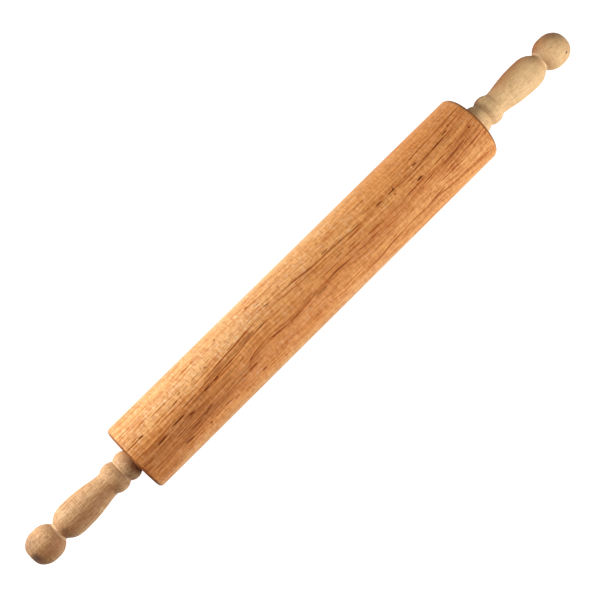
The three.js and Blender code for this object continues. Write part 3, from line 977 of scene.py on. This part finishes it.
def roller_wood(settings):
    """Reddish honey-brown hardwood: fibres, rings, stains, grain lines, gum flecks, painted glints, and dark
    end grain with painted shade on the rounded edges.
    """
    finish = Finish("roller_wood")
    turn = finish.degrees_round()
    finish.turn_place(flow_turn(finish, turn))
    from_heart = abs(turn - HEART_TURN)
    back = finish.step(abs(turn), *BACK_FADE)
    rings, end_rings = roller_rings(finish, settings, from_heart, back)
    streaks = finish.fading_streaks(ROLLER_STREAKS)
    wobble = finish.swing(MARK_WOBBLE_REACH, MARK_WOBBLE)
    round_way = finish.calc("MULTIPLY_ADD", turn, MM_PER_DEGREE, wobble)
    spot = finish.add_linked("ShaderNodeCombineXYZ", X=finish.along, Y=round_way, Z=1.0).outputs[0]
    stain = hand_marks(finish, spot, STAINS, STAIN_EDGE)
    dark, shade = grain_lines(finish, turn)
    red = hand_marks(finish, spot, RED_FLECKS, FLECK_EDGE)
    gum = hand_marks(finish, spot, GUM_FLECKS, FLECK_EDGE)
    ragged = layered(streaks, RAGGED_SHARES) + RAGGED_BASE
    smoke = (shade * SHADE_SMOKE + stain) * ragged
    tone = layered(streaks, ROLLER_TONE) + rings + smoke * SMOKE_SHARE
    # Less brown along the +Y edge: a painted sheen
    tone = tone * (1.0 - zone(finish, turn, *QUIET_ZONE) * QUIET_SHARE)
    ground = roller_ground(finish, settings, turn, from_heart)
    # Painted highlights: pale glints along the fibres, strongest on the lit +Y side
    sheen = finish.step(turn, *SHEEN_ROUND) * finish.step(finish.along, *SHEEN_ALONG)
    ground = finish.mix(streaks["glints"] * streaks["glint_patches"] * sheen, ground, settings.glint)
    ground = finish.mix(tone, ground, settings.brown)
    ground = finish.mix(smoke * SMOKE_SHARE, ground, settings.smoke)
    marks = finish.largest(dark, red) * ragged
    ground = finish.mix(finish.largest(marks, gum) * BLUSH_SHARE, ground, settings.blush, "MULTIPLY")
    ground = finish.mix(marks ** LINE_SHARPNESS, ground, settings.line)
    ground = finish.mix(streaks["dashes"] * (back * DASH_BACK + DASH_BASE), ground, settings.line)
    ground = finish.mix(gum ** GUM_SHARPNESS, ground, settings.gum)
    pores = finish.fading_streaks(END_STREAKS)["pores"]
    end_tone = pores * END_PORE_SHARE + end_rings * (1 - END_PORE_SHARE)
    end_grain = finish.mix(end_tone, settings.end_pale, settings.rim)
    # Dark end grain, and painted shade on the rounded edges
    ground = finish.mix(finish.step(finish.facing_ends(), *END_FADE) * END_SHARE, ground, end_grain)
    roughness = finish.step(tone, *ROLLER_ROUGHNESS)
    finish.surface(Base_Color=ground, Roughness=roughness, Specular_IOR_Level=ROLLER_SPECULAR)
    finish.bump(layered(streaks, ROLLER_RELIEF), RELIEF_DEPTH)
    return finish.material


# Marks and darker patches on the handles: a point in mm, the mark's radius and its darkness. The broad patch
# on the right ball's +Y side is painted shade.
MARK_CORE = 0.2  # share of a mark's radius at which it is darkest
HANDLE_MARKS = (
    ((282.5, -11.4, 10.5), 1.6, 0.95),
    # Painted shade on the right ball's +Y side
    ((283, 8, 9), 9.0, 0.35),
    ((288, 2, 8), 5.0, 0.25),
    ((-283.8, 10.9, 9.4), 2.8, 0.45),
    ((-288.8, -1.0, 10.6), 6.5, 0.75),
    ((-286, 10, 8), 11.0, 0.3),
    ((-260.5, -2.0, 11.5), 4.5, 0.4),
)


# Streaks on the handles, in the same order
HANDLE_STREAKS = {
    "fibres": ((30, 0.85, 1, 11), (0.46, 0.60)),
    "flecks": ((5, 0.9, 1, 12), (0.60, 0.70)),
    "pores": ((4, 0.8, 1, 17), (0.42, 0.66)),
    "lathe_marks": ((0.9, 40, 1, 18), (0.40, 0.65)),
    "clouds": ((18, 6, 2, 13), (0.40, 0.70)),
}
HANDLE_TONE = {"fibres": 0.28, "pores": 0.36, "lathe_marks": 0.16}
HANDLE_RELIEF = {"flecks": -0.6, "fibres": -0.5}
HANDLE_RING_WIDTH = 2.4
HANDLE_PITH = (4.0, -16.0)
HANDLE_RING_LEAN = 0.03
HANDLE_RING_UNEVENNESS = (3.0, 0.8)
HANDLE_RING_FALL = (0.9, 1.0)
HANDLE_RING_SHARE = 0.1
RIGHT_FINENESS = 0.45  # how much fainter the right handle's streaks are than the left one's
CLOUD_SHARE = 0.08
BALL_FADE = (-1, 3)  # mm from the neck
BALL_SHARE = 0.1
# The left handle's -Y side and the right handle's +Y side carry painted shade, each the side away from its
# softbox
LEFT_DUSK_TURN = -23  # degrees from the top towards +Y of the left handle's warm band
LEFT_DUSK_FADE = (50, 4)
RIGHT_DUSK_FADE = (2, 56)
RIGHT_SHADE_FADE = (42, 88)
RIGHT_SHADE_END = (150, 95)
RIGHT_SHADE_SHARE = 0.7
LEFT_DUSK_START = (8, 26)  # mm from the handle's inner face
RIGHT_DUSK_START = (18, 40)
LEFT_DUSK_SHARE, RIGHT_DUSK_SHARE = 0.45, 0.56
FLECK_SHARE = 0.4
END_GRAIN_START, END_GRAIN_FULL = 20, 8  # mm beyond the inner face and beyond the neck
END_GRAIN_SHARES = (0.12, 0.7)
GROOVE_HIGHLIGHT_SHARE = 0.55
HANDLE_ROUGHNESS = (0.0, 0.6, 0.55, 0.7)
HANDLE_SPECULAR = 0.3
GROOVE_HIGHLIGHT_WIDTH = 1.1  # width of the painted highlight in the groove and at the neck, in mm
NECK_HIGHLIGHT_WIDTH = 1.7


def handle_wood(settings):
    """Pale hardwood, turned and nearly raw: streaks, flecks, a warm painted shade on each handle's side away
    from its softbox, end grain, and painted highlights in the groove and at the neck.
    """
    finish = Finish("handle_wood")
    turn = finish.degrees_round()
    reach = abs(finish.along)
    face = HANDLE_FACE / MM
    groove = face + settings.collar_length / MM
    grip = settings.waist_length + settings.grip_rise + settings.grip_fall
    neck = groove + (settings.ring_length + grip) / MM
    right = finish.step(finish.along, -1, 1)
    _, through = growth_rings(
        finish, HANDLE_RING_WIDTH, HANDLE_PITH, HANDLE_RING_LEAN, *HANDLE_RING_UNEVENNESS
    )
    late_wood = finish.step(through, *LATE_WOOD_RISE) - finish.step(through, *HANDLE_RING_FALL)
    streaks = finish.fading_streaks(HANDLE_STREAKS)
    coarseness = 1.0 - right * RIGHT_FINENESS
    tone = (layered(streaks, HANDLE_TONE) + late_wood * HANDLE_RING_SHARE) * coarseness
    # The right handle's +Y side: painted shade, darker towards its +Y edge
    upper_side = right * finish.step(turn, *RIGHT_SHADE_END)
    upper_shade = finish.step(turn, *RIGHT_SHADE_FADE) * upper_side
    ball = finish.step(reach, *(neck + place for place in BALL_FADE))
    tone = tone + streaks["clouds"] * CLOUD_SHARE + ball * BALL_SHARE + upper_shade * RIGHT_SHADE_SHARE
    pale = finish.mix(right, settings.left_pale, settings.right_pale)
    ground = finish.mix(tone, pale, settings.streak)
    # Painted shade on the side of each handle away from its softbox, fading in away from the roller
    left_start = finish.step(reach, *(face + place for place in LEFT_DUSK_START))
    left_painted_shade = finish.step(abs(turn - LEFT_DUSK_TURN), *LEFT_DUSK_FADE) * left_start * (1.0 - right)
    right_start = finish.step(reach, *(face + place for place in RIGHT_DUSK_START))
    right_painted_shade = finish.step(turn, *RIGHT_DUSK_FADE) * right_start * upper_side
    painted_shade = left_painted_shade * LEFT_DUSK_SHARE + right_painted_shade * RIGHT_DUSK_SHARE
    ground = finish.mix(painted_shade, ground, settings.painted_shade)
    ground = finish.mix(streaks["flecks"] * coarseness * FLECK_SHARE, ground, settings.fleck)
    end_share = finish.step(reach, face + END_GRAIN_START, neck + END_GRAIN_FULL, *END_GRAIN_SHARES)
    ground = finish.mix(finish.facing_ends() ** 2 * end_share, ground, settings.end_grain)
    # Painted highlights along the V-groove and the neck
    groove_highlight = 0.0
    for place, width in ((groove, GROOVE_HIGHLIGHT_WIDTH), (neck + settings.neck_width / MM, NECK_HIGHLIGHT_WIDTH)):
        groove_highlight = finish.largest(finish.step(abs(reach - place), width, 0.0, 0.0, GROOVE_HIGHLIGHT_SHARE), groove_highlight)
    ground = finish.mix(groove_highlight, ground, settings.groove_highlight)
    mark = 0.0
    for place, radius, darkness in HANDLE_MARKS:
        distance = finish.vector("LENGTH", finish.vector("SUBTRACT", finish.place, place))
        mark = finish.largest(finish.step(distance, radius, MARK_CORE * radius, 0.0, darkness), mark)
    ground = finish.mix(mark, ground, settings.mark)
    roughness = finish.step(tone, *HANDLE_ROUGHNESS)
    finish.surface(Base_Color=ground, Roughness=roughness, Specular_IOR_Level=HANDLE_SPECULAR)
    finish.bump(layered(streaks, HANDLE_RELIEF), RELIEF_DEPTH)
    return finish.material


FITTING_DARKNESS = 0.82
FITTING_ROUGHNESS_REACH = 0.08
FITTING_FADE = (0.2, 0.8)
FITTING_NOISE = (3, 21)  # detail and seed
FITTING_DEPTH = 0.01 * MM


def fitting_finish(name, colour, metallic, roughness, grain):
    """A machined or moulded fitting: fine marks in its roughness and colour."""
    finish = Finish(name)
    marks = finish.streaks(*grain, *FITTING_NOISE)
    dark = [FITTING_DARKNESS * value for value in colour]
    smooth, rough = roughness - FITTING_ROUGHNESS_REACH, roughness + FITTING_ROUGHNESS_REACH
    finish.surface(
        Base_Color=finish.mix(marks, dark, colour),
        Roughness=finish.step(marks, *FITTING_FADE, smooth, rough),
        Metallic=metallic,
    )
    finish.bump(marks, FITTING_DEPTH)
    return finish.material


def dress_node(node, material):
    """Give a CAD node that keeps its shape a better material."""
    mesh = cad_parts[node].data
    mesh.materials.clear()
    mesh.materials.append(material)


# Stage

def paper_material(settings):
    """White paper: it glows for the camera and in reflections, and still takes the object's shadow."""
    material = bpy.data.materials.new("paper")
    material.use_nodes = True
    tree = material.node_tree
    tree.nodes.clear()
    output = tree.nodes.new("ShaderNodeOutputMaterial")
    rays = tree.nodes.new("ShaderNodeLightPath")
    seen = rays.outputs["Is Camera Ray"]
    for kind in ("Is Glossy Ray", "Is Transmission Ray"):
        either = tree.nodes.new("ShaderNodeMath")
        either.operation = "MAXIMUM"
        tree.links.new(seen, either.inputs[0])
        tree.links.new(rays.outputs[kind], either.inputs[1])
        seen = either.outputs[0]
    surface = tree.nodes.new("ShaderNodeBsdfDiffuse")
    surface.inputs["Color"].default_value = (*settings.paper, 1)
    lit = tree.nodes.new("ShaderNodeBsdfDiffuse")
    lit.inputs["Color"].default_value = (PAPER_SHARE, PAPER_SHARE, PAPER_SHARE, 1)
    glow = tree.nodes.new("ShaderNodeEmission")
    glow.inputs["Strength"].default_value = PAPER_GLOW
    both = tree.nodes.new("ShaderNodeAddShader")
    tree.links.new(lit.outputs[0], both.inputs[0])
    tree.links.new(glow.outputs[0], both.inputs[1])
    mix = tree.nodes.new("ShaderNodeMixShader")
    tree.links.new(seen, mix.inputs["Fac"])
    tree.links.new(surface.outputs[0], mix.inputs[1])
    tree.links.new(both.outputs[0], mix.inputs[2])
    tree.links.new(mix.outputs[0], output.inputs["Surface"])
    return material


def add_floor(settings):
    shape = bmesh.new()
    bmesh.ops.create_grid(shape, x_segments=1, y_segments=1, size=FLOOR_SIDE / 2)
    bmesh.ops.translate(shape, verts=shape.verts, vec=(0, 0, ROLLER_LOW.z))
    mesh = bpy.data.meshes.new("floor")
    shape.to_mesh(mesh)
    shape.free()
    mesh.materials.append(paper_material(settings))
    floor = bpy.data.objects.new("floor", mesh)
    bpy.context.scene.collection.objects.link(floor)


def facing_matrix(place, aim, tilt):
    """A camera's or lamp's matrix at place, facing aim, with the X axis at that slope in its picture."""
    back = (place - aim).normalized()
    slope = (Vector((1, 0, 0)) - back * back.x).normalized()
    square = back.cross(slope)
    right = slope * math.cos(tilt) - square * math.sin(tilt)
    up = slope * math.sin(tilt) + square * math.cos(tilt)
    turn = Matrix((right, up, back)).transposed().to_4x4()
    return Matrix.Translation(place) @ turn


def add_camera(settings):
    data = bpy.data.cameras.new("camera")
    data.lens = LENS
    data.sensor_width = SENSOR
    camera = bpy.data.objects.new("camera", data)
    aim = Vector((settings.aim_x, settings.aim_y, 0))
    place = aim + Vector((-settings.camera_back, 0, settings.camera_height))
    camera.matrix_world = facing_matrix(place, aim, PIN_TILT)
    bpy.context.scene.collection.objects.link(camera)
    bpy.context.scene.camera = camera


def add_softbox(name, settings):
    """A softbox that faces the pin's middle."""
    parts = ("azimuth", "reach", "height", "width", "tall", "power")
    azimuth, reach, height, width, tall, watts = (getattr(settings, f"{name}_{part}") for part in parts)
    data = bpy.data.lights.new(f"softbox_{name}", "AREA")
    data.energy = watts
    data.shape = "RECTANGLE"
    data.size = width
    data.size_y = tall
    lamp = bpy.data.objects.new(data.name, data)
    place = Vector((reach * math.cos(azimuth), reach * math.sin(azimuth), height))
    lamp.matrix_world = Matrix.Translation(place) @ place.to_track_quat("Z", "Y").to_matrix().to_4x4()
    bpy.context.scene.collection.objects.link(lamp)


def add_world():
    """Even white fill, which the camera sees as white."""
    world = bpy.data.worlds.new("studio")
    world.use_nodes = True
    tree = world.node_tree
    background = tree.nodes["Background"]
    background.inputs["Color"].default_value = (1, 1, 1, 1)
    rays = tree.nodes.new("ShaderNodeLightPath")
    level = tree.nodes.new("ShaderNodeMapRange")
    level.inputs["To Min"].default_value = FILL_STRENGTH
    level.inputs["To Max"].default_value = 1.0
    tree.links.new(rays.outputs["Is Camera Ray"], level.inputs["Value"])
    tree.links.new(level.outputs["Result"], background.inputs["Strength"])
    bpy.context.scene.world = world


# Operators

SHARP_ANGLE = 40  # degrees from which an edge is shaded sharp
HANDLE_SHARP_ANGLE = 50
SIDES = {"right": 0, "left": math.pi}  # how far a right-hand piece is turned about Z to serve at each end


class PIN_OT_roller(Operator):
    """Model the roller with its grain and put it in place of the plain one"""
    bl_idname = "rolling_pin.roller"
    bl_label = "Make roller"

    def execute(self, context):
        settings = context.scene.pin_roller
        piece = finished_piece(roller_shape(settings), "turned_roller", roller_wood(settings), SHARP_ANGLE)
        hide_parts("roller")
        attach(piece, "roller")
        return {"FINISHED"}


class PIN_OT_handles(Operator):
    """Model both turned handles and put them in place of the plain ones"""
    bl_idname = "rolling_pin.handles"
    bl_label = "Make handles"

    def execute(self, context):
        settings = context.scene.pin_handles
        wood = handle_wood(settings)
        leans = {"right": settings.right_lean, "left": -settings.left_lean}
        for side, turn in SIDES.items():
            shape = handle_shape(settings, leans[side])
            bmesh.ops.rotate(shape, verts=shape.verts, cent=(0, 0, 0), matrix=Matrix.Rotation(turn, 3, "Z"))
            piece = finished_piece(shape, f"turned_handle_{side}", wood, HANDLE_SHARP_ANGLE)
            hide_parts(f"handle_{side}")
            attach(piece, "handles_and_axle")
        return {"FINISHED"}


class PIN_OT_rod(Operator):
    """Model the threaded rod and put it in place of the plain one"""
    bl_idname = "rolling_pin.rod"
    bl_label = "Make rod"

    def execute(self, context):
        settings = context.scene.pin_rod
        steel = fitting_finish("drawn_steel", settings.steel, metallic=1.0, roughness=0.32, grain=(40, 0.3))
        piece = finished_piece(rod_shape(settings), "threaded_rod", steel, SHARP_ANGLE)
        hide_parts("axle_rod")
        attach(piece, "handles_and_axle")
        return {"FINISHED"}


class PIN_OT_bearings(Operator):
    """Finish the bushes and the washers, which keep their shape"""
    bl_idname = "rolling_pin.bearings"
    bl_label = "Finish bearings"

    def execute(self, context):
        settings = context.scene.pin_bearings
        nylon = fitting_finish("nylon", settings.nylon, metallic=0.0, roughness=0.5, grain=(1.5, 1.5))
        for side in SIDES:
            dress_node(f"bush_{side}", nylon)
            dress_node(f"washer_{side}", nylon)
        return {"FINISHED"}


class PIN_OT_inserts(Operator):
    """Model both threaded inserts and put them in place of the plain ones"""
    bl_idname = "rolling_pin.inserts"
    bl_label = "Make inserts"

    def execute(self, context):
        settings = context.scene.pin_inserts
        brass = fitting_finish("brass", settings.brass, metallic=1.0, roughness=0.34, grain=(0.3, 8))
        for side, turn in SIDES.items():
            shape = insert_shape(settings)
            bmesh.ops.rotate(shape, verts=shape.verts, cent=(0, 0, 0), matrix=Matrix.Rotation(turn, 3, "Z"))
            piece = finished_piece(shape, f"threaded_insert_{side}", brass, SHARP_ANGLE)
            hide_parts(f"insert_{side}")
            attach(piece, "handles_and_axle")
        return {"FINISHED"}


class PIN_OT_stage(Operator):
    """Add the paper floor, the softboxes, the fill and the camera"""
    bl_idname = "rolling_pin.stage"
    bl_label = "Make stage"

    def execute(self, context):
        settings = context.scene.pin_stage
        add_floor(settings)
        for name in SOFTBOXES:
            add_softbox(name, settings)
        add_world()
        add_camera(settings)
        context.scene.view_settings.view_transform = "Standard"
        return {"FINISHED"}


class PIN_PT_panel(Panel):
    """Lists the pin's makers in the 3D view's sidebar"""
    bl_label = "Rolling pin"
    bl_idname = "PIN_PT_panel"
    bl_space_type = "VIEW_3D"
    bl_region_type = "UI"
    bl_category = "Rolling pin"

    def draw(self, context):
        for operator, settings in MAKERS:
            box = self.layout.box()
            group = getattr(context.scene, settings)
            for name in group.bl_rna.properties.keys():
                if name not in ("rna_type", "name"):
                    box.prop(group, name)
            box.operator(operator.bl_idname)


MAKERS = (
    (PIN_OT_roller, "pin_roller"),
    (PIN_OT_handles, "pin_handles"),
    (PIN_OT_rod, "pin_rod"),
    (PIN_OT_bearings, "pin_bearings"),
    (PIN_OT_inserts, "pin_inserts"),
    (PIN_OT_stage, "pin_stage"),
)
SETTINGS = {
    "pin_roller": RollerSettings,
    "pin_handles": HandleSettings,
    "pin_rod": RodSettings,
    "pin_bearings": BearingSettings,
    "pin_inserts": InsertSettings,
    "pin_stage": StageSettings,
}


def register():
    for name, group in SETTINGS.items():
        bpy.utils.register_class(group)
        setattr(bpy.types.Scene, name, PointerProperty(type=group))
    for operator, _ in MAKERS:
        bpy.utils.register_class(operator)
    bpy.utils.register_class(PIN_PT_panel)


def unregister():
    bpy.utils.unregister_class(PIN_PT_panel)
    for operator, _ in reversed(MAKERS):
        bpy.utils.unregister_class(operator)
    for name, group in SETTINGS.items():
        delattr(bpy.types.Scene, name)
        bpy.utils.unregister_class(group)


def main():
    register()
    bpy.ops.rolling_pin.stage()
    bpy.ops.rolling_pin.roller()
    bpy.ops.rolling_pin.handles()
    bpy.ops.rolling_pin.rod()
    bpy.ops.rolling_pin.bearings()
    bpy.ops.rolling_pin.inserts()


if __name__ == "__main__":
    main()
